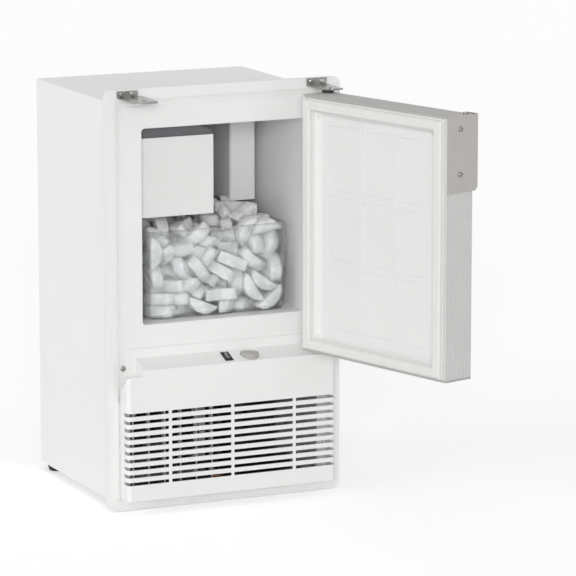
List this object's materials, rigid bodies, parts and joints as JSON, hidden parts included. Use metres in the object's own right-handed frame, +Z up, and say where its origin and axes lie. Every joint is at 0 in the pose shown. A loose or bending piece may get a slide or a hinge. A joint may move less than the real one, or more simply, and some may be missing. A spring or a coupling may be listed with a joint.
{
  "type": "built-in ice maker",
  "caption": "Compact flanged built-in ice maker with a hinged insulated door, lift-out clear ice bin, crescent ice mould, and a refrigeration unit behind a slotted grille.",
  "frame": {"origin": "on the floor, below the middle of the flange's back face", "axes": "+X to the right seen from the front, +Y back into the cabinet, +Z up"},
  "size_m": [0.456, 0.7119, 0.6575],
  "materials": {
    "white_paint": "satin",
    "white_moulding": "satin",
    "grey_moulding": "satin",
    "dark_moulding": "satin",
    "galvanised_sheet": "satin",
    "stainless": "satin",
    "black_rubber": "matte",
    "white_gasket": "matte",
    "foam": "matte",
    "aluminium": "satin",
    "ejector_plastic": "satin",
    "copper": "satin",
    "black_enamel": "gloss",
    "clear_plastic": "gloss",
    "ice": "satin"
  },
  "bodies": {
    "cabinet": {"outer_wrapper": "white_paint", "back_panel": "galvanised_sheet", "base_pan": "galvanised_sheet", "feet": "black_rubber", "foot_screws": "stainless", "cabinet_insulation": "foam", "inner_liner": "white_moulding", "front_flange": "white_moulding", "grille": "white_moulding", "switch_housing": "dark_moulding", "thermostat_body": "dark_moulding", "top_hinge": "stainless", "bottom_hinge": "stainless", "flange_screws": "stainless", "hinge_pins": "stainless", "hinge_washers": "dark_moulding", "strike_plate": "stainless", "icemaker_cover": "white_moulding", "control_housing": "dark_moulding", "ejector_motor": "black_enamel", "ice_mould": "aluminium", "stripper": "white_moulding", "icemaker_bracket": "galvanised_sheet", "mould_heater": "aluminium", "fill_cup": "white_moulding", "evaporator_cover": "white_moulding", "evaporator_coil": "aluminium", "condenser_tube": "copper", "condenser_fins": "aluminium", "fan_shroud": "galvanised_sheet", "fan_motor": "black_enamel", "compressor": "black_enamel", "compressor_grommets": "black_rubber", "terminal_cover": "dark_moulding", "refrigerant_lines": "copper", "capillary": "copper", "filter_drier": "copper", "water_inlet_valve": "ejector_plastic", "fill_tube": "ejector_plastic", "drain_tube": "ejector_plastic", "cord_gland": "dark_moulding"},
    "door": {"door_outer_panel": "white_paint", "door_liner": "white_moulding", "door_insulation": "foam", "door_gasket": "white_gasket", "handle_edge_trim": "white_moulding", "hinge_edge_trim": "white_moulding", "door_top_cap": "grey_moulding", "door_bottom_cap": "grey_moulding", "latch_bracket": "stainless", "latch_screws": "stainless", "hinge_bushes": "dark_moulding"},
    "latch": {"latch_bolt": "stainless"},
    "bin": {"ice_bin": "clear_plastic", "ice_heap": "ice"},
    "ejector_shaft": {"ejector": "ejector_plastic"},
    "arm": {"shutoff_arm": "stainless"},
    "fan": {"fan_blade": "dark_moulding"},
    "rocker": {"switch_rocker": "dark_moulding"},
    "knob": {"thermostat_knob": "white_moulding"}
  },
  "joints": [
    {"name": "door_hinge", "type": "hinge", "parent": "cabinet", "child": "door", "pos_m": [0.153, -0.0569, 0.441], "axis": [0, 0, 1], "range_deg": [-106, 56]},
    {"name": "latch_slide", "type": "slide", "parent": "door", "child": "latch", "axis": [0, 0, 1], "range_m": [0, 0.009]},
    {"name": "bin_slide", "type": "slide", "parent": "cabinet", "child": "bin", "axis": [0, -1, 0], "range_m": [0, 0.065]},
    {"name": "ejector_spin", "type": "hinge", "parent": "cabinet", "child": "ejector_shaft", "pos_m": [-0.078, 0.15, 0.538], "axis": [0, 1, 0], "continuous": true},
    {"name": "arm_lift", "type": "hinge", "parent": "cabinet", "child": "arm", "pos_m": [-0.02, 0.06, 0.5055], "axis": [0, -1, 0], "range_deg": [0, 40]},
    {"name": "fan_spin", "type": "hinge", "parent": "cabinet", "child": "fan", "pos_m": [-0.08175, 0.057, 0.101], "axis": [0, 1, 0], "continuous": true},
    {"name": "switch_rock", "type": "hinge", "parent": "cabinet", "child": "rocker", "pos_m": [-0.003, -0.02092, 0.23003], "axis": [1, 0, 0], "range_deg": [-9, 9]},
    {"name": "thermostat_turn", "type": "hinge", "parent": "cabinet", "child": "knob", "pos_m": [0.036, -0.021, 0.23], "axis": [0, 0, 1], "range_deg": [-135, 135]}
  ]
}
